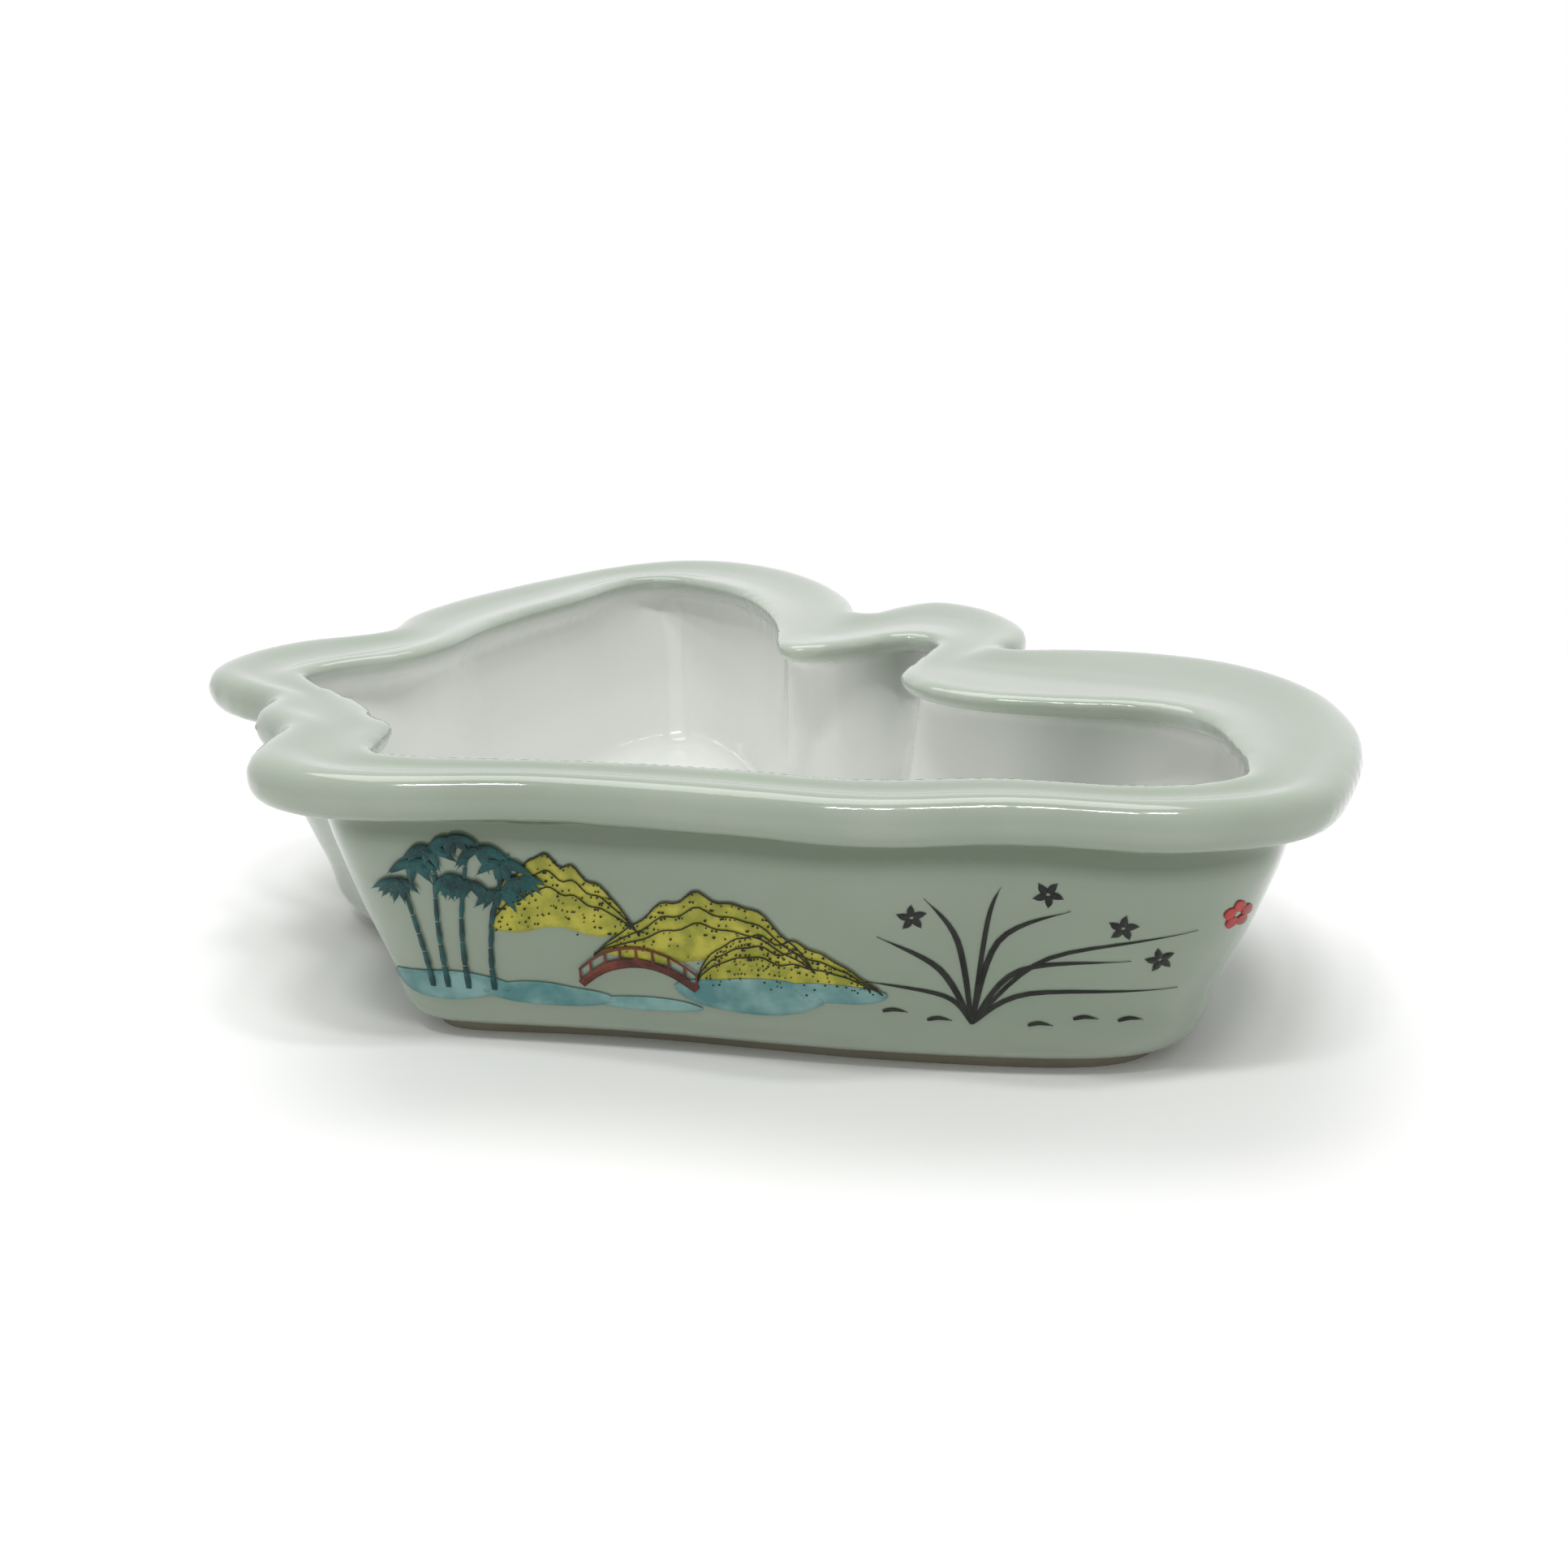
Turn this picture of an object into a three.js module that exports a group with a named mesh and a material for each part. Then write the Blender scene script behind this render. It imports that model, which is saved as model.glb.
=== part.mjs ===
// Narcissus bowl: a low glazed porcelain bowl whose plan is a butterfly with its wings spread.
// Millimetres, +Z up. +X runs from the tail to the head, +Y towards the far wing.
// The origin is on the table, under the middle of the rim.
import * as THREE from 'three';

// Driving dimensions
const HEIGHT = 60;              // table to the top of the rim
const ROLL_DEPTH = 10.5;        // thickness of the rolled outer edge
const ROLL_REACH = 6;           // width of the roll
const LIP_THICK = 5.2;          // thickness of the rim at its inner edge
const BEAD_WIDTH = 4;           // soft bead along the inner edge
const DISH = 1.8;               // how far the flat of the rim lies below its edges
const RIM_JOINT = 8;            // depth of the seat of the wall below the top of the rim
const WALL_THICK = 6.5;         // at the rim
const HEEL_THICK = 8.5;         // above the heel, measured towards the heart of the bowl
const WALL_SHARE = 0.45;        // where the wall meets the rim, from its inner edge (0) to its outer edge (1)
const COVE_SHARE = 0.66;        // how far the cove spreads under the rim
const COVE_DEPTH = 9;
const WALL_LEAN = 9;            // how far the wall draws in from the rim to the heel
const HEEL_CALM = 6;            // how far the creases of the rim have faded at the heel, in stations
const HEEL_HEIGHT = 13;
const HEEL_INSET = 7;           // how far the heel draws in down to the foot
const FLOOR_LEVEL = 9.5;        // top of the floor inside the bowl
const FLOOR_FILLET = 5;
const FOOT_HEIGHT = 2.5;
const FOOT_STEP = 1.5;          // recess between the heel and the unglazed foot
const FOOT_WIDTH = 7;
const STEPS = 4;                // facets between two stations of the outline

// Stations of the rim from the tail over the far wing to the head and back over the near wing.
// Each has the point of the inner edge and the point of the outer edge across the rim from it.
const STATIONS = [
  { inner: [-72, 1], outer: [-91, 3] },         // notch beside the tail
  { inner: [-71, 9], outer: [-93, 17] },        // tail
  { inner: [-72, 24], outer: [-87, 28] },       // notch beside the tail
  { inner: [-74, 37], outer: [-92, 44] },       // far hind lobe
  { inner: [-73, 47], outer: [-93, 59] },
  { inner: [-64, 52], outer: [-84, 73] },
  { inner: [-50, 53], outer: [-68, 82] },
  { inner: [-36, 61], outer: [-46, 84] },       // waist between the far wings
  { inner: [-20, 77], outer: [-34, 101] },      // far fore wing
  { inner: [-2, 91], outer: [-17, 116] },
  { inner: [18, 104], outer: [4, 129] },
  { inner: [36, 118], outer: [25, 140] },
  { inner: [45, 122], outer: [48, 149] },
  { inner: [53, 119], outer: [70, 150] },
  { inner: [57, 108], outer: [84, 140] },
  { inner: [59, 92], outer: [91, 120] },
  { inner: [55, 70], outer: [90, 95] },
  { inner: [45, 45], outer: [82, 66] },
  { inner: [30, 14], outer: [71, 42] },         // notch beside the head
  { inner: [46, 11], outer: [85, 46] },         // head
  { inner: [60, 13], outer: [98, 46] },
  { inner: [66, 10], outer: [103, 34] },
  { inner: [66, 4], outer: [101, 18] },
  { inner: [60, -2], outer: [95, 4] },
  { inner: [49, -11], outer: [85, -6] },
  { inner: [37, -22], outer: [75, -13] },       // notch beside the head
  { inner: [34, -35], outer: [88, -22] },       // near fore wing
  { inner: [38, -47], outer: [99, -32] },
  { inner: [50, -60], outer: [108, -48] },
  { inner: [61, -69], outer: [109, -65] },
  { inner: [66, -78], outer: [104, -82] },
  { inner: [65, -87], outer: [96, -95] },
  { inner: [60, -96], outer: [85, -108] },
  { inner: [51, -109], outer: [66, -123] },
  { inner: [40, -117], outer: [44, -134] },
  { inner: [24, -112], outer: [18, -128] },
  { inner: [6, -96], outer: [-2, -111] },        // waist of the near fore wing
  { inner: [-14, -85], outer: [-23, -100] },
  { inner: [-33, -65], outer: [-43, -79] },
  { inner: [-55, -46], outer: [-65, -58] },     // waist between the near wings
  { inner: [-75, -31], outer: [-86, -46] },     // near hind lobe
  { inner: [-80, -24], outer: [-98, -35] },
  { inner: [-75, -14], outer: [-103, -20] },
  { inner: [-71, -7], outer: [-98, -8] },
];

// A closed smooth line through the stations, with the same number of steps from each to the next
function closedLine(stations) {
  const curve = new THREE.CatmullRomCurve3(
    stations.map(([x, y]) => new THREE.Vector3(x, y, 0)), true, 'centripetal');
  const count = stations.length * STEPS;
  const line = [];
  for (let i = 0; i < count; i += 1) {
    const point = curve.getPoint(i / count);
    line.push(new THREE.Vector2(point.x, point.y));
  }
  return line;
}

// The outline is walked counter-clockwise and centred on the middle of the outer edge
const walked = [...STATIONS].reverse();
const outerRaw = closedLine(walked.map((station) => station.outer));
const innerRaw = closedLine(walked.map((station) => station.inner));
const middle = new THREE.Box2().setFromPoints(outerRaw).getCenter(new THREE.Vector2());
const outerEdge = outerRaw.map((point) => point.clone().sub(middle));
const innerEdge = innerRaw.map((point) => point.clone().sub(middle));
const heart = innerEdge.reduce((sum, point) => sum.add(point), new THREE.Vector2())
  .divideScalar(innerEdge.length);

// A line across the rim: a share of the way from the inner edge to the outer edge, plus millimetres
function across(share, extra = 0) {
  return innerEdge.map((start, i) => {
    const along = outerEdge[i].clone().sub(start);
    const unit = along.clone().normalize();
    return start.clone().addScaledVector(along, share).addScaledVector(unit, extra);
  });
}

// Neighbours pull each point, so that creases fade towards the foot
function softened(line, passes) {
  let soft = line;
  for (let pass = 0; pass < passes; pass += 1) {
    const last = soft;
    soft = last.map((point, i) => {
      const before = last[(i + last.length - 1) % last.length];
      const after = last[(i + 1) % last.length];
      return point.clone().multiplyScalar(2).add(before).add(after).divideScalar(4);
    });
  }
  return soft;
}

// The line moved square to itself towards the inside of the bowl
function inward(line, distance) {
  return line.map((point, i) => {
    const before = line[(i + line.length - 2) % line.length];
    const after = line[(i + 2) % line.length];
    const along = after.clone().sub(before).normalize();
    return new THREE.Vector2(point.x - along.y * distance, point.y + along.x * distance);
  });
}

// The line drawn in towards the heart of the bowl
function drawnIn(line, distance) {
  return line.map((point) => {
    const spoke = point.clone().sub(heart);
    return heart.clone().addScaledVector(spoke, 1 - distance / spoke.length());
  });
}

function blend(from, to, share) {
  return from.map((point, i) => point.clone().lerp(to[i], share));
}

// Skins closed lines that lie one after another. A ring joins its last line to its first one,
// and a plate is closed by its first line on top and its last line underneath.
function skin(levels, isRing) {
  const count = levels[0].line.length;
  const positions = levels.flatMap(({ line, z }) => line.flatMap((point) => [point.x, point.y, z]));
  const index = [];
  const bands = isRing ? levels.length : levels.length - 1;
  for (let band = 0; band < bands; band += 1) {
    const here = band * count;
    const next = ((band + 1) % levels.length) * count;
    for (let i = 0; i < count; i += 1) {
      const j = (i + 1) % count;
      index.push(here + i, next + i, next + j);
      index.push(here + i, next + j, here + j);
    }
  }
  if (!isRing) {
    const base = (levels.length - 1) * count;
    for (const [a, b, c] of THREE.ShapeUtils.triangulateShape(levels[0].line, [])) {
      index.push(a, b, c);
    }
    for (const [a, b, c] of THREE.ShapeUtils.triangulateShape(levels.at(-1).line, [])) {
      index.push(base + c, base + b, base + a);
    }
  }
  const geometry = new THREE.BufferGeometry();
  geometry.setAttribute('position', new THREE.Float32BufferAttribute(positions, 3));
  geometry.setIndex(index);
  geometry.computeVertexNormals();
  return geometry;
}

// Lines that two pieces share
const seatLevel = HEIGHT - RIM_JOINT;
const wallLine = across(WALL_SHARE);
const coveLine = across(COVE_SHARE);
const seatInside = inward(wallLine, WALL_THICK);
const heelLine = softened(inward(wallLine, WALL_LEAN), HEEL_CALM * STEPS);
const heelInside = drawnIn(heelLine, HEEL_THICK);
const soleLine = drawnIn(heelLine, HEEL_INSET);
const footLine = drawnIn(soleLine, FOOT_STEP);
const footInside = drawnIn(footLine, FOOT_WIDTH);

// Broad rim: rolled outer edge, dished flat and soft bead at the inner edge
function rimGeometry() {
  const top = HEIGHT;
  const nose = LIP_THICK / 2;
  return skin([
    { line: across(0), z: top - nose },
    { line: across(0, BEAD_WIDTH * 0.15), z: top - nose * 0.35 },
    { line: across(0, BEAD_WIDTH * 0.5), z: top - DISH * 0.15 },
    { line: across(0, BEAD_WIDTH), z: top - DISH * 0.5 },
    { line: across(0.4), z: top - DISH },
    { line: across(0.6), z: top - DISH * 0.8 },
    { line: across(1, -ROLL_REACH * 0.65), z: top },
    { line: across(1, -ROLL_REACH * 0.2), z: top - ROLL_DEPTH * 0.16 },
    { line: across(1), z: top - ROLL_DEPTH * 0.45 },
    { line: across(1, -ROLL_REACH * 0.2), z: top - ROLL_DEPTH * 0.82 },
    { line: across(1, -ROLL_REACH * 0.65), z: top - ROLL_DEPTH },
    { line: coveLine, z: seatLevel },
    { line: seatInside, z: seatLevel },
    { line: across(0, BEAD_WIDTH * 0.4), z: top - LIP_THICK },
  ], true);
}

// Wall that leans out from the heel and spreads into a cove under the rim
function wallGeometry() {
  const coveFoot = seatLevel - COVE_DEPTH;
  const rise = coveFoot - HEEL_HEIGHT;
  const insideWall = blend(heelInside, seatInside, 0.5);
  return skin([
    { line: seatInside, z: seatLevel },
    { line: coveLine, z: seatLevel },
    { line: blend(wallLine, coveLine, 0.45), z: seatLevel - COVE_DEPTH * 0.25 },
    { line: blend(wallLine, coveLine, 0.12), z: seatLevel - COVE_DEPTH * 0.6 },
    { line: wallLine, z: coveFoot },
    { line: blend(heelLine, wallLine, 0.55), z: HEEL_HEIGHT + rise * 0.5 },
    { line: heelLine, z: HEEL_HEIGHT },
    { line: heelInside, z: HEEL_HEIGHT },
    { line: insideWall, z: HEEL_HEIGHT + rise * 0.5 },
  ], true);
}

// Floor with the fillet inside and the rounded heel outside
function baseGeometry() {
  const drop = HEEL_HEIGHT - FOOT_HEIGHT;
  const fillet = HEEL_HEIGHT - FLOOR_LEVEL;
  const heel = [0.25, 0.5, 0.75].map((turn) => {
    const angle = turn * Math.PI / 2;
    return {
      line: drawnIn(heelLine, HEEL_INSET * (1 - Math.cos(angle))),
      z: HEEL_HEIGHT - drop * Math.sin(angle),
    };
  });
  return skin([
    { line: drawnIn(heelInside, FLOOR_FILLET), z: FLOOR_LEVEL },
    { line: drawnIn(heelInside, FLOOR_FILLET * 0.35), z: FLOOR_LEVEL + fillet * 0.3 },
    { line: heelInside, z: HEEL_HEIGHT },
    { line: heelLine, z: HEEL_HEIGHT },
    ...heel,
    { line: soleLine, z: FOOT_HEIGHT },
  ], false);
}

// Low ring that the bowl stands on, wiped clean of glaze
function footGeometry() {
  return skin([
    { line: footInside, z: FOOT_HEIGHT },
    { line: footLine, z: FOOT_HEIGHT },
    { line: drawnIn(footLine, FOOT_STEP * 0.5), z: 0 },
    { line: drawnIn(footInside, -FOOT_STEP * 0.5), z: 0 },
  ], true);
}

const celadon = { color: 0xb9c6bd, roughness: 0.16, metalness: 0 };
const whiteGlaze = { color: 0xd8ddd6, roughness: 0.18, metalness: 0 };
const bareClay = { color: 0xcbb9a0, roughness: 0.8, metalness: 0 };

function piece(name, geometry, finish) {
  const mesh = new THREE.Mesh(geometry, new THREE.MeshStandardMaterial(finish));
  mesh.name = name;
  return mesh;
}

const bowl = new THREE.Group();
bowl.add(piece('rolled_rim', rimGeometry(), celadon));
bowl.add(piece('body_wall', wallGeometry(), celadon));
bowl.add(piece('base_floor', baseGeometry(), whiteGlaze));
bowl.add(piece('foot_ring', footGeometry(), bareClay));

export default bowl;
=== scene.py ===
import math
import random

import bmesh
import bpy
import numpy as np
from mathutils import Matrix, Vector
from mathutils.bvhtree import BVHTree


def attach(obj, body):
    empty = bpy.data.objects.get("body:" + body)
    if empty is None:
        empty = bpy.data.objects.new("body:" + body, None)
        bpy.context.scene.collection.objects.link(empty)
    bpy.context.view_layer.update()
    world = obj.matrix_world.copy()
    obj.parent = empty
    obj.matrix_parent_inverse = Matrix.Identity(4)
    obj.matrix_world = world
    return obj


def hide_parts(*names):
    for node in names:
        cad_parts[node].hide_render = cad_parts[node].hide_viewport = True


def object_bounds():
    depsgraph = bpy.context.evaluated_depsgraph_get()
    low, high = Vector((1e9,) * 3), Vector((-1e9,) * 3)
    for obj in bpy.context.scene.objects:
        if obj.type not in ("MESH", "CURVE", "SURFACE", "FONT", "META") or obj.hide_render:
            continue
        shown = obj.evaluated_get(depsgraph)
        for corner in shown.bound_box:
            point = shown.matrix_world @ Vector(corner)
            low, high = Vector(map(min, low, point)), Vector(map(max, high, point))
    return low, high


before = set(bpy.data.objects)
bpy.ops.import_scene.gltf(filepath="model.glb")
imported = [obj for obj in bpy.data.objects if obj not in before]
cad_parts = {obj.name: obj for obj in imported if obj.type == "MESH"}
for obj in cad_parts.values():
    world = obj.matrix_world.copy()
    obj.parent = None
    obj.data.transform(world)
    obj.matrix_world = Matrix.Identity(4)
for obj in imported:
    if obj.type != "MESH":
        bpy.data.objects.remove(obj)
cad_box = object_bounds()

# Bowl
MM = 0.001
HEIGHT = cad_box[1][2]              # table to the top of the rim
HEART = Vector((1, -8, 0)) * MM     # middle of the hollow, seen from above
CLAY_PARTS = ("rolled_rim", "body_wall", "base_floor")
CLAY_WELD = 0.01 * MM               # corners this close are one corner
SKIN_GRAIN = 1.5 * MM               # size of the faces of the glazed skin
MELT_ROUNDS = 14                    # how far the glaze rounds the edges

# Glaze, and the painted shade under the rolled rim
FULL_POOL = 1.2 * MM                # a hollow this deep is filled with glaze
ROLL_SHADE_HEIGHT = HEIGHT - 12.5 * MM    # painted shade: the outside is darkened in a band centred here, in the cove under the rolled rim
# width of the painted shade band under the rolled rim
ROLL_SHADE_SPREAD = 3.6 * MM
UNDER_ROLL_SHADE = 0.45                   # strength of that painted shade, as a share of the deepest glaze colour
LIP_DEPTH = 3 * MM                  # below this the inside turns white, over as much again
FLOOR_TOP = 20 * MM                 # no part of the inner floor lies higher

# Sizes of the patterns in the glaze, the bare clay and the enamel
CLOUD_WIDTH = 35.7 * MM
PEEL_WIDTH = 6.25 * MM
SPECK_SPACING = 19.23 * MM
SPECK_RADIUS = 0.54 * MM
SAND_GRAIN = 1.11 * MM              # coarser than real sand, so that it shows
TOAST_WIDTH = 28.6 * MM
BRUSH_LOAD = 3.85 * MM
WASH_LOAD = 8.33 * MM

# Painting: drawn in millimetres along the near wall and up it, then cast on the wall
WALL_START = Vector((-85.5, -31.0, 0)) * MM
WALL_ALONG = Vector((0.79, -0.613, 0)).normalized()
WALL_OUT = Vector((-0.613, -0.79, 0)).normalized()
CAST_FROM = 80 * MM
COAT = 0.12 * MM                    # thickness of one coat of enamel
BRUSH_WELD = 0.02 * MM

# Camera: just above the rim, on the side of the near wing
CAMERA_AT = Vector((-162.7, -308.9, 134.8)) * MM
CAMERA_HEADING = math.radians(31)   # from +Y towards +X
CAMERA_TILT = math.radians(16.6)    # downwards
FILM = 36                           # millimetres across a square picture
LENS = 36.34

# Table and light
TABLE_SIZE = 6
TABLE_CLEAR = (0.24, 0.5)           # the table fades into the white between these distances
SKY_FILL = 0.55                     # light of the white room on the bowl
SKY_SHOWN = 1.0                     # white of the room, where it is seen or mirrored


# Materials
def linear(hex_colour):
    """sRGB hex to the linear colour that shaders take."""
    channels = [int(hex_colour[i:i + 2], 16) / 255 for i in (1, 3, 5)]
    return [c / 12.92 if c <= 0.04045 else ((c + 0.055) / 1.055) ** 2.4 for c in channels] + [1.0]


def add_node(tree, kind, settings=None, **inputs):
    """One node with its settings and inputs. An input is named by its socket, with _ for a space,
    or by its number, as in _0. A socket given for it is linked, anything else is its value."""
    node = tree.nodes.new(kind)
    for name, value in (settings or {}).items():
        setattr(node, name, value)
    for name, value in inputs.items():
        key = int(name[1:]) if name[1:].isdigit() else name.replace("_", " ")
        if isinstance(value, bpy.types.NodeSocket):
            tree.links.new(value, node.inputs[key])
        else:
            node.inputs[key].default_value = value
    return node


def new_material(name):
    material = bpy.data.materials.new(name)
    material.use_nodes = True
    tree = material.node_tree
    return material, tree, tree.nodes["Principled BSDF"]


def set_stops(ramp, stops):
    """Gives a colour ramp its stops: pairs of a position and an sRGB colour."""
    while len(ramp.elements) < len(stops):
        ramp.elements.new(1.0)
    for element, (position, colour) in zip(ramp.elements, stops):
        element.position = position
        element.color = linear(colour)


def iron_specks(tree, place):
    """1 on the few small spots where iron in the clay burned through the glaze."""
    cells = add_node(tree, "ShaderNodeTexVoronoi", Vector=place, Scale=1 / SPECK_SPACING)
    near = add_node(tree, "ShaderNodeMath", {"operation": "LESS_THAN"},
                    _0=cells.outputs["Distance"], _1=SPECK_RADIUS / SPECK_SPACING)
    chance = add_node(tree, "ShaderNodeSeparateColor", Color=cells.outputs["Color"])
    rare = add_node(tree, "ShaderNodeMath", {"operation": "GREATER_THAN"}, _0=chance.outputs[0], _1=0.9)
    speck = add_node(tree, "ShaderNodeMath", {"operation": "MULTIPLY"},
                     _0=near.outputs[0], _1=rare.outputs[0])
    return speck.outputs[0]


def celadon_glaze():
    """Celadon glaze, dipped and fired over white porcelain. To the eye it is deep and glassy: pale
    where it runs thin on edges, greener where it pools, nearly white inside, with a faint orange peel
    in its mirror and a few brown specks. Painted shade darkens it in the cove under the rolled rim."""
    material, tree, shader = new_material("celadon_glaze")
    place = add_node(tree, "ShaderNodeTexCoord").outputs["Object"]
    # glaze depth from the mesh, with the painted shade under the rolled rim added in
    pool_and_shade = add_node(tree, "ShaderNodeAttribute", {"attribute_name": "glaze_pool_and_shade"}).outputs["Fac"]
    inside = add_node(tree, "ShaderNodeAttribute", {"attribute_name": "inside"}).outputs["Fac"]
    cloud = add_node(tree, "ShaderNodeTexNoise", Vector=place, Scale=1 / CLOUD_WIDTH, Detail=3.0)
    clouded = add_node(tree, "ShaderNodeMath", {"operation": "MULTIPLY_ADD"},
                       _0=cloud.outputs["Fac"], _1=0.35, _2=pool_and_shade)
    depth_and_shade = add_node(tree, "ShaderNodeMath", {"operation": "SUBTRACT"}, _0=clouded.outputs[0], _1=0.175)
    # deeper green for thicker glaze and for the painted shade under the rim
    green = add_node(tree, "ShaderNodeValToRGB", _0=depth_and_shade.outputs[0])
    set_stops(green.color_ramp, ((0.12, "#a9b2a4"), (0.38, "#8e9a8a"), (0.62, "#81907d"), (0.95, "#5f6e59")))
    whiter = add_node(tree, "ShaderNodeMix", {"data_type": "RGBA"},
                      _0=inside, _6=green.outputs["Color"], _7=linear("#dfe1dd"))
    colour = add_node(tree, "ShaderNodeMix", {"data_type": "RGBA"},
                      _0=iron_specks(tree, place), _6=whiter.outputs[2], _7=linear("#5b5546"))
    tree.links.new(colour.outputs[2], shader.inputs["Base Color"])
    peel = add_node(tree, "ShaderNodeTexNoise", Vector=place, Scale=1 / PEEL_WIDTH, Detail=2.0)
    bump = add_node(tree, "ShaderNodeBump", Strength=0.05, Distance=0.4 * MM, Height=peel.outputs["Fac"])
    tree.links.new(bump.outputs[0], shader.inputs["Normal"])
    shader.inputs["Roughness"].default_value = 0.12
    shader.inputs["IOR"].default_value = 1.52
    shader.inputs["Subsurface Weight"].default_value = 0.08
    shader.inputs["Subsurface Radius"].default_value = (2 * MM, 3 * MM, 2 * MM)
    shader.inputs["Coat Weight"].default_value = 0.35
    shader.inputs["Coat Roughness"].default_value = 0.04
    return material


def bare_porcelain():
    """Porcelain wiped clean of glaze before the kiln: matt and sandy, with a darker toasted cloud."""
    material, tree, shader = new_material("bare_porcelain")
    place = add_node(tree, "ShaderNodeTexCoord").outputs["Object"]
    sand = add_node(tree, "ShaderNodeTexNoise", Vector=place, Scale=1 / SAND_GRAIN, Detail=4.0)
    toast = add_node(tree, "ShaderNodeTexNoise", Vector=place, Scale=1 / TOAST_WIDTH, Detail=3.0)
    colour = add_node(tree, "ShaderNodeMix", {"data_type": "RGBA"},
                      _0=toast.outputs["Fac"], _6=linear("#8f897a"), _7=linear("#6d6658"))
    tree.links.new(colour.outputs[2], shader.inputs["Base Color"])
    bump = add_node(tree, "ShaderNodeBump", Strength=0.4, Distance=0.3 * MM, Height=sand.outputs["Fac"])
    tree.links.new(bump.outputs[0], shader.inputs["Normal"])
    shader.inputs["Roughness"].default_value = 0.85
    return material


def enamel(name, light, dark, load=BRUSH_LOAD):
    """Enamel painted over the fired glaze: opaque and a little less glossy than the glaze, darker
    where the brush was fuller."""
    material, tree, shader = new_material(name)
    place = add_node(tree, "ShaderNodeTexCoord").outputs["Object"]
    brush = add_node(tree, "ShaderNodeTexNoise", Vector=place, Scale=1 / load, Detail=4.0)
    colour = add_node(tree, "ShaderNodeValToRGB", _0=brush.outputs["Fac"])
    set_stops(colour.color_ramp, ((0.38, dark), (0.62, light)))
    tree.links.new(colour.outputs["Color"], shader.inputs["Base Color"])
    shader.inputs["Roughness"].default_value = 0.3
    shader.inputs["IOR"].default_value = 1.5
    shader.inputs["Specular IOR Level"].default_value = 0.3
    return material


def white_table():
    """Matt white paper that catches the bowl's shadow and fades into the white behind it."""
    material, tree, shader = new_material("white_table")
    shader.inputs["Base Color"].default_value = linear("#f8f8f7")
    shader.inputs["Roughness"].default_value = 0.9
    place = add_node(tree, "ShaderNodeTexCoord").outputs["Object"]
    far = add_node(tree, "ShaderNodeVectorMath", {"operation": "LENGTH"}, _0=place)
    fade = add_node(tree, "ShaderNodeMapRange", Value=far.outputs["Value"],
                    From_Min=TABLE_CLEAR[0], From_Max=TABLE_CLEAR[1])
    clear = add_node(tree, "ShaderNodeBsdfTransparent")
    mixed = add_node(tree, "ShaderNodeMixShader",
                     _0=fade.outputs[0], _1=shader.outputs[0], _2=clear.outputs[0])
    tree.links.new(mixed.outputs[0], tree.nodes["Material Output"].inputs["Surface"])
    return material


# Glazed body: one seamless skin over the rim, the wall and the floor, as one fired piece has
def new_object(name, mesh):
    thing = bpy.data.objects.new(name, mesh)
    bpy.context.collection.objects.link(thing)
    return thing


def smooth_shaded(mesh):
    mesh.polygons.foreach_set("use_smooth", [True] * len(mesh.polygons))


def joined_clay():
    """The clay parts in one mesh, with their doubles merged."""
    mesh = bpy.data.meshes.new("glazed_body")
    maker = bmesh.new()
    for node in CLAY_PARTS:
        maker.from_mesh(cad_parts[node].data)
    bmesh.ops.remove_doubles(maker, verts=maker.verts, dist=CLAY_WELD)
    maker.to_mesh(mesh)
    maker.free()
    return mesh


def glazed_body():
    body = new_object("glazed_body", joined_clay())
    skin = body.modifiers.new("skin", "REMESH")
    skin.mode = "VOXEL"
    skin.voxel_size = SKIN_GRAIN
    melt = body.modifiers.new("melted glaze", "SMOOTH")
    melt.factor = 0.5
    melt.iterations = MELT_ROUNDS
    evaluated = body.evaluated_get(bpy.context.evaluated_depsgraph_get())
    body.data = bpy.data.meshes.new_from_object(evaluated)
    body.modifiers.clear()
    body.data.name = "glazed_body"
    smooth_shaded(body.data)
    mark_glaze(body.data)
    body.data.materials.clear()
    body.data.materials.append(celadon_glaze())
    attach(body, "root")
    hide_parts(*CLAY_PARTS)
    return body


def vertex_values(mesh, name):
    values = np.empty(len(mesh.vertices) * 3)
    mesh.vertices.foreach_get(name, values)
    return values.reshape(-1, 3)


def edge_ends(mesh):
    ends = np.empty(len(mesh.edges) * 2, dtype=np.int64)
    mesh.edges.foreach_get("vertices", ends)
    return ends.reshape(-1, 2)


def spread(values, edges, rounds):
    """Values at the vertices, each round replaced by the mean of their neighbours' values."""
    number = np.bincount(edges.ravel(), minlength=len(values))
    number = np.maximum(number, 1).reshape((-1,) + (1,) * (values.ndim - 1))
    for _ in range(rounds):
        total = np.zeros(values.shape)
        np.add.at(total, edges[:, 0], values[edges[:, 1]])
        np.add.at(total, edges[:, 1], values[edges[:, 0]])
        values = total / number
    return values


def store(mesh, name, values):
    layer = mesh.attributes.new(name, "FLOAT", "POINT")
    layer.data.foreach_set("value", values.astype(np.float32))


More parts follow.
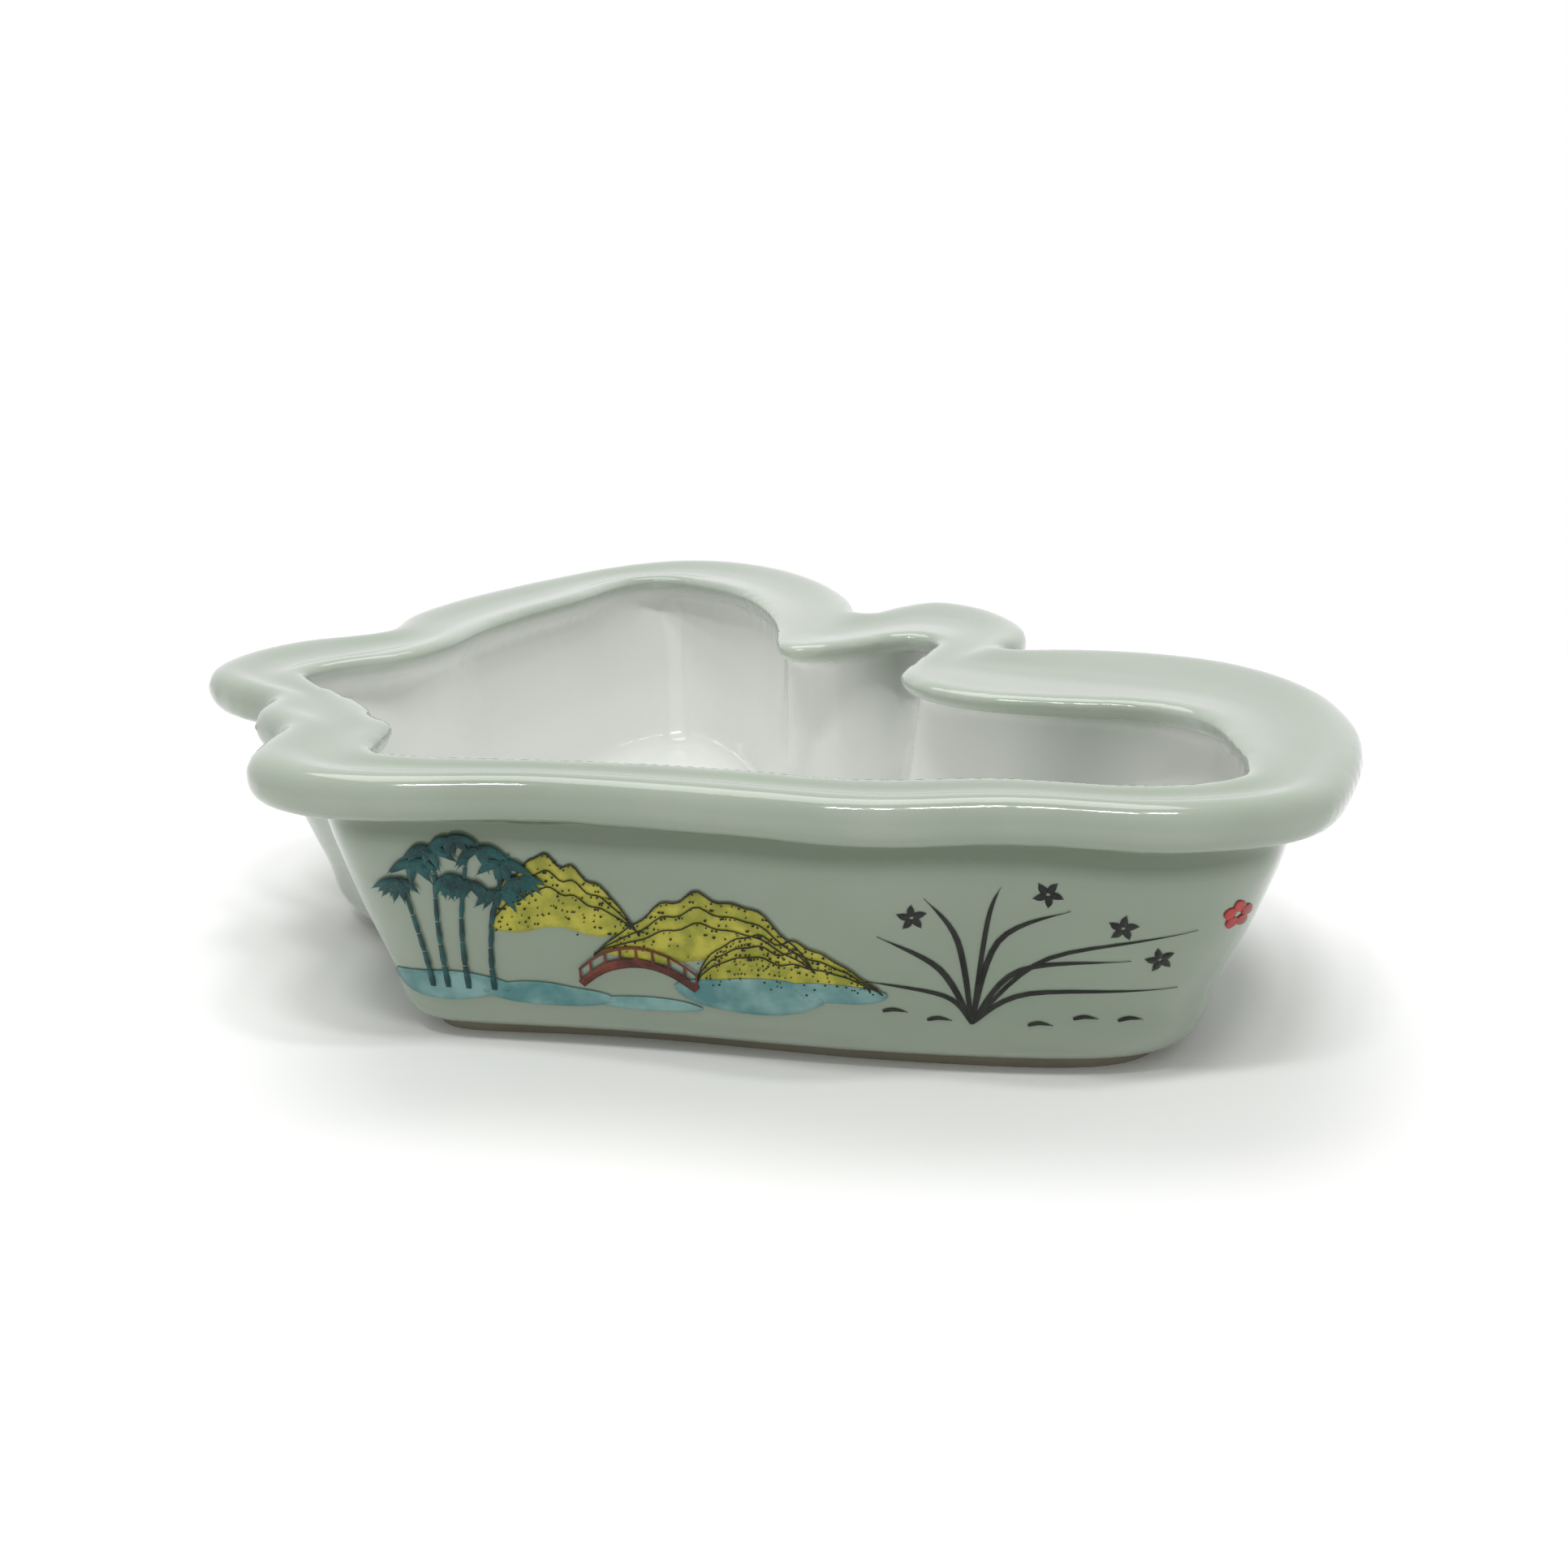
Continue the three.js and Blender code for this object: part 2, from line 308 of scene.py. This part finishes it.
def mark_glaze(mesh):
    """At each vertex, how deep the glaze lies, with painted shade added in the cove under the rolled
    rim, and how far it belongs to the white inside.
    """
    points = vertex_values(mesh, "co")
    normals = vertex_values(mesh, "normal")
    edges = edge_ends(mesh)
    height = points[:, 2]
    spokes = points[:, :2] - np.array(HEART[:2])
    facing_out = (spokes * normals[:, :2]).sum(1) / np.linalg.norm(spokes, axis=1)

    hollow = ((spread(points, edges, 6) - points) * normals).sum(1) / FULL_POOL
    hollow = spread(hollow, edges, 8)
    # painted shade: darker glaze on the outside in a band just under the rolled rim
    under_roll_shade = np.exp(-((height - ROLL_SHADE_HEIGHT) / ROLL_SHADE_SPREAD) ** 2) * np.clip(3 * facing_out, 0, 1)
    store(mesh, "glaze_pool_and_shade", np.clip(0.5 + 0.5 * hollow + UNDER_ROLL_SHADE * under_roll_shade, 0, 1))

    below_lip = np.clip((HEIGHT - LIP_DEPTH - height) / LIP_DEPTH, 0, 1)
    inner_floor = (normals[:, 2] > 0.7) & (height < FLOOR_TOP)
    inside = np.maximum(np.clip(-3 * facing_out, 0, 1) * below_lip, inner_floor)
    store(mesh, "inside", spread(inside, edges, 6))


# Brushwork: each shape is a grid, rows of the same number of flat points
def ribbon(points, half_widths, lanes):
    """A band along points, as wide on each side as given there."""
    rows = []
    last = len(points) - 1
    for i, ((x, y), half) in enumerate(zip(points, half_widths)):
        ahead = points[min(i + 1, last)]
        behind = points[max(i - 1, 0)]
        length = math.hypot(ahead[0] - behind[0], ahead[1] - behind[1]) or 1
        side = ((behind[1] - ahead[1]) / length, (ahead[0] - behind[0]) / length)
        rows.append([(x + side[0] * half * lane, y + side[1] * half * lane) for lane in lanes])
    return rows


def line(points, width):
    """A line of even width through every point."""
    return ribbon(points, [width / 2] * len(points), (-1, 1))


def soft_path(path, steps):
    """Points along a soft curve through a few given ones."""
    points = []
    last = len(path) - 1
    for i in range(steps + 1):
        at = i / steps * last
        k = min(int(at), last - 1)
        t = at - k
        nearby = (path[max(k - 1, 0)], path[k], path[k + 1], path[min(k + 2, last)])
        points.append(tuple(
            0.5 * (2 * b + (c - a) * t + (2 * a - 5 * b + 4 * c - d) * t * t
                   + (3 * b - a - 3 * c + d) * t ** 3)
            for a, b, c, d in zip(*nearby)))
    return points


def stroke(path, width, blunt=0.15, steps=14):
    """A brush stroke: full in the middle and drawn out to its ends, or as blunt there as given."""
    swell = [math.sin(math.pi * min(1, i / steps + 0.12)) ** 0.7 for i in range(steps + 1)]
    return ribbon(soft_path(path, steps), [width / 2 * max(blunt, share) for share in swell], (-1, 0, 1))


def blot(x, y, wide, high, seed, rough=0.18, spokes=26, rings=5):
    """A round patch of colour with an uneven edge."""
    draw = random.Random(seed)
    phases = [draw.uniform(0, math.tau) for _ in range(4)]
    turns = [math.tau * k / spokes for k in range(spokes + 1)]
    edge = [1 + rough * sum(math.sin((n + 2) * turn + p) / (n + 1.6) for n, p in enumerate(phases))
            for turn in turns]
    return [[(x + wide / 2 * ring / rings * reach * math.cos(turn),
              y + high / 2 * ring / rings * reach * math.sin(turn))
             for turn, reach in zip(turns, edge)]
            for ring in range(rings + 1)]


class NearWall:
    """Takes flat brushwork and lays it on the near wall of the glazed body."""

    def __init__(self, body):
        maker = bmesh.new()
        maker.from_mesh(body.data)
        self.surface = BVHTree.FromBMesh(maker)
        maker.free()

    def point(self, along, up, coat):
        start = WALL_START + WALL_ALONG * along * MM + WALL_OUT * CAST_FROM + Vector((0, 0, up * MM))
        place, normal, _, _ = self.surface.ray_cast(start, -WALL_OUT)
        return place + normal * COAT * coat if place else None

    def lay(self, name, shapes, material, coat):
        """One painted piece, on top of the coats that are below it."""
        vertices, faces = [], []
        for rows in shapes:
            placed = [[self.point(x, y, coat) for x, y in row] for row in rows]
            if any(point is None for row in placed for point in row):
                continue
            first, wide = len(vertices), len(rows[0])
            vertices += [point for row in placed for point in row]
            for r in range(len(rows) - 1):
                for c in range(wide - 1):
                    corner = first + r * wide + c
                    faces.append((corner, corner + 1, corner + wide + 1, corner + wide))
        mesh = bpy.data.meshes.new(name)
        mesh.from_pydata(vertices, [], faces)
        face_outwards(mesh)
        smooth_shaded(mesh)
        mesh.materials.append(material)
        piece = new_object(name, mesh)
        thick = piece.modifiers.new("coat", "SOLIDIFY")
        thick.thickness = COAT * 0.8
        thick.offset = 1
        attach(piece, "root")


def face_outwards(mesh):
    """Closes the middle of each blot and turns every face away from the wall."""
    maker = bmesh.new()
    maker.from_mesh(mesh)
    bmesh.ops.remove_doubles(maker, verts=maker.verts, dist=BRUSH_WELD)
    for face in maker.faces:
        if face.normal.dot(WALL_OUT) < 0:
            face.normal_flip()
    maker.to_mesh(mesh)
    maker.free()


# Painted design, in millimetres: hills above water on the left, an ink orchid, a red flower
HILL_COLUMNS = 34
HILL_ROWS = 9
HILL_DOTS = 170
HILL_LINES = (-1, -3, -5)           # rows that carry an ink line, from the ridge down
BAMBOO_FOOT = 13
BAMBOO_KNOTS = 6
BAMBOO_STEMS = ((14, 44, 2.5), (18, 46, 5), (23, 43, 6.5), (11, 38, -2))    # foot, top, lean
BAMBOO_SPRAYS = ((15, 44), (19, 46), (24, 44), (28, 41), (12, 41),
                 (9, 37), (17, 38), (22, 37), (27, 35), (31, 38))
LEAF_LENGTH = 6.0
LEAVES_IN_SPRAY = 9
BRIDGE_ARCH = ((40, 15.5), (45, 19.5), (51, 21), (57, 19.5), (62, 16))
RAIL_HEIGHT = 3.4
ORCHID_ROOT = (112, 12)
ORCHID_LEAVES = (((106, 24), (95, 31)), ((109, 30), (103, 39)), ((116, 30), (128, 37)),
                 ((120, 24), (139, 27)), ((122, 19), (148, 20)), ((107, 18), (92, 21)),
                 ((114, 34), (116, 41)), ((125, 27), (150, 33)))            # bow and tip of each
ORCHID_FLOWERS = ((101, 35, 20), (124, 40, -15), (137, 34, 10), (144, 27, 30))  # place and turn
GRASS = ((96, 14), (104, 12.5), (122, 12), (130, 13.5), (138, 13))
RED_FLOWER = (157, 35)
PETALS = 5


def hill(left, right, foot, peak, lean, seed, rough=0.04):
    """A hill from its misty foot up to its ridge."""
    draw = random.Random(seed)
    phases = [draw.uniform(0, math.tau) for _ in range(3)]
    grid = []
    for r in range(HILL_ROWS + 1):
        row = []
        for c in range(HILL_COLUMNS + 1):
            t = c / HILL_COLUMNS
            bend = t ** (math.log(0.5) / math.log(lean))
            ridge = math.sin(math.pi * bend) ** 0.8
            ridge *= 1 + rough * sum(math.sin((5 + 4 * n) * math.pi * t + p) for n, p in enumerate(phases))
            mist = 0.8 * math.sin(11 * t + seed) * (1 - r / HILL_ROWS)
            row.append((left + (right - left) * t, foot + mist + (peak - foot) * ridge * r / HILL_ROWS))
        grid.append(row)
    return grid


def hills():
    return [hill(24, 52, 27, 42, lean=0.42, seed=3),
            hill(43, 84, 22, 36.5, lean=0.55, seed=8),
            hill(62, 96, 18, 29, lean=0.4, seed=5)]


def hill_stipple(grids):
    """Dots on the hills, closer towards each ridge, and lines along it."""
    draw = random.Random(11)
    dots = []
    for grid in grids:
        for _ in range(HILL_DOTS):
            column = draw.randrange(2, len(grid[0]) - 2)
            row = min(len(grid) - 1, int(len(grid) * draw.random() ** 0.6))
            x, y = grid[row][column]
            size = draw.uniform(0.25, 0.5)
            dots.append(blot(x + draw.uniform(-0.6, 0.6), y - 0.5, size, size, 1, spokes=6, rings=1))
    return dots + [line(grid[row], 0.22) for grid in grids for row in HILL_LINES]


def shore():
    """Rocks and water under the hills."""
    return [blot(14, 13.5, 22, 7, 4, 0.12),
            blot(33, 12.5, 24, 5, 9, 0.12),
            blot(72, 15.5, 30, 7.5, 6, 0.14),
            blot(88, 17.5, 16, 5, 7, 0.16),
            blot(52, 11.8, 20, 3, 3, 0.1)]


def bridge():
    """A small arched footbridge with its rail and posts."""
    rail = [(x, y + RAIL_HEIGHT) for x, y in BRIDGE_ARCH]
    posts = [stroke([(x, y), (x, y + 1.9), (x, y + 3.6)], 0.5, blunt=0.8)
             for x, y in soft_path(BRIDGE_ARCH, 8)]
    return [stroke(BRIDGE_ARCH, 2.0, blunt=0.8), stroke(rail, 0.6, blunt=0.7)] + posts


def bamboo_stems():
    """Stems in blunt strokes, one from knot to knot, thinner towards the top."""
    stems = []
    for x, top, lean in BAMBOO_STEMS:
        for k in range(BAMBOO_KNOTS):
            a, b = k / BAMBOO_KNOTS, (k + 0.93) / BAMBOO_KNOTS
            start = (x + lean * a * a, BAMBOO_FOOT + (top - BAMBOO_FOOT) * a)
            end = (x + lean * b * b, BAMBOO_FOOT + (top - BAMBOO_FOOT) * b)
            middle = ((start[0] + end[0]) / 2, (start[1] + end[1]) / 2)
            stems.append(stroke([start, middle, end], 1.15 - 0.5 * a, blunt=0.85))
    return stems


def leaf_spray(x, y, seed):
    """Leaves that hang down from one twig."""
    draw = random.Random(seed)
    leaves = []
    for _ in range(LEAVES_IN_SPRAY):
        turn = math.radians(draw.uniform(-160, -20))
        reach = LEAF_LENGTH * draw.uniform(0.7, 1.15)
        tip = (x + reach * math.cos(turn), y + reach * math.sin(turn) * 0.8)
        bow = ((x + tip[0]) / 2, (y + tip[1]) / 2 + 0.6)
        leaves.append(stroke([(x, y), bow, tip], draw.uniform(1.2, 1.9), blunt=0.05))
    return leaves


def bamboo_leaves():
    return [leaf for k, (x, y) in enumerate(BAMBOO_SPRAYS) for leaf in leaf_spray(x, y, 20 + k)]


def orchid_flower(x, y, turn):
    petals = []
    for k in range(PETALS):
        angle = math.radians(turn + k * 360 / PETALS)
        heart = (x + 0.35 * math.cos(angle), y + 0.35 * math.sin(angle))
        middle = (x + 1.5 * math.cos(angle + 0.1), y + 1.5 * math.sin(angle + 0.1))
        tip = (x + 2.7 * math.cos(angle), y + 2.7 * math.sin(angle))
        petals.append(stroke([heart, middle, tip], 1.3, blunt=0.1))
    return petals


def orchid():
    """A clump of long arched leaves in ink, with small flowers above it and grass at its foot."""
    parts = [stroke([ORCHID_ROOT, bow, tip], 1.15 - 0.05 * k, blunt=0.06)
             for k, (bow, tip) in enumerate(ORCHID_LEAVES)]
    for place_and_turn in ORCHID_FLOWERS:
        parts += orchid_flower(*place_and_turn)
    for x, y in GRASS:
        parts.append(stroke([(x, y), (x + 2, y + 0.5), (x + 4.5, y)], 0.8, blunt=0.1))
    return parts


def red_flower():
    x, y = RED_FLOWER
    petals = []
    for k in range(PETALS):
        angle = math.radians(90 + k * 360 / PETALS)
        petals.append(blot(x + 1.7 * math.cos(angle), y + 1.9 * math.sin(angle), 2.3, 2.5, 30 + k, 0.1,
                           spokes=16, rings=3))
    return petals


def paint(body):
    """The whole design, from the lowest coat of enamel to the highest."""
    wall = NearWall(body)
    teal = enamel("teal_enamel", "#14504f", "#0a3234")
    ink = enamel("ink_enamel", "#22241e", "#0c0d09")
    yellow = enamel("yellow_green_enamel", "#b4ae42", "#8d8f30")
    blue = enamel("pale_blue_enamel", "#7fa3a0", "#4f7f80", load=WASH_LOAD)
    brown = enamel("red_brown_enamel", "#733526", "#401c14")
    red = enamel("red_enamel", "#b02c24", "#8a1f18")
    grids = hills()
    wall.lay("painted_hills", grids, yellow, 1)
    wall.lay("painted_shore", shore(), blue, 2)
    wall.lay("hill_stipple", hill_stipple(grids), ink, 3)
    wall.lay("painted_bridge", bridge(), brown, 4)
    wall.lay("bamboo_stems", bamboo_stems(), teal, 4)
    wall.lay("bamboo_leaves", bamboo_leaves(), teal, 5)
    wall.lay("ink_orchid", orchid(), ink, 1)
    wall.lay("red_flower", red_flower(), red, 1)


# Foot
def wiped_foot():
    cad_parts["foot_ring"].material_slots[0].material = bare_porcelain()


# Table, light and camera
def table():
    bpy.ops.mesh.primitive_plane_add(size=TABLE_SIZE, location=(0, 0, 0))
    floor = bpy.context.object
    floor.name = "floor"
    floor.data.materials.append(white_table())


def white_room():
    """White all round, at full strength where it is seen or mirrored and weaker as light."""
    world = bpy.context.scene.world or bpy.data.worlds.new("World")
    bpy.context.scene.world = world
    world.use_nodes = True
    tree = world.node_tree
    background = tree.nodes["Background"]
    path = add_node(tree, "ShaderNodeLightPath")
    shown = add_node(tree, "ShaderNodeMath", {"operation": "MAXIMUM"},
                     _0=path.outputs["Is Camera Ray"], _1=path.outputs["Is Glossy Ray"])
    strength = add_node(tree, "ShaderNodeMapRange", Value=shown.outputs[0],
                        To_Min=SKY_FILL, To_Max=SKY_SHOWN)
    tree.links.new(strength.outputs[0], background.inputs["Strength"])
    background.inputs["Color"].default_value = (1, 1, 1, 1)


def lamp(name, place, target, wide, high, power):
    data = bpy.data.lights.new(name, "AREA")
    data.shape = "RECTANGLE"
    data.size = wide
    data.size_y = high
    data.energy = power
    light = new_object(name, data)
    light.location = place
    light.rotation_euler = (Vector(target) - Vector(place)).to_track_quat("-Z", "Y").to_euler()


def lamps():
    """A wide soft panel above the far side, and three small windows that streak the near roll."""
    lamp("sky_panel", (0.1, 0.4, 1.3), (0, 0, 0.03), 1.2, 0.9, 9.5)
    for k, x in enumerate((-0.22, 0.02, 0.26)):
        lamp(f"window_{k}", (x - 0.25, -0.42 - x * 0.3, 0.95), (x, -0.05, 0.05), 0.16, 0.05, 1.6)


def set_camera():
    data = bpy.data.cameras.new("camera")
    data.sensor_fit = "HORIZONTAL"
    data.sensor_width = FILM
    data.lens = LENS
    camera = new_object("camera", data)
    camera.location = CAMERA_AT
    look = Vector((math.sin(CAMERA_HEADING) * math.cos(CAMERA_TILT),
                   math.cos(CAMERA_HEADING) * math.cos(CAMERA_TILT),
                   -math.sin(CAMERA_TILT)))
    camera.rotation_euler = look.to_track_quat("-Z", "Y").to_euler()
    bpy.context.scene.camera = camera


bpy.context.scene.view_settings.view_transform = "Standard"
set_camera()
table()
white_room()
lamps()
paint(glazed_body())
wiped_foot()
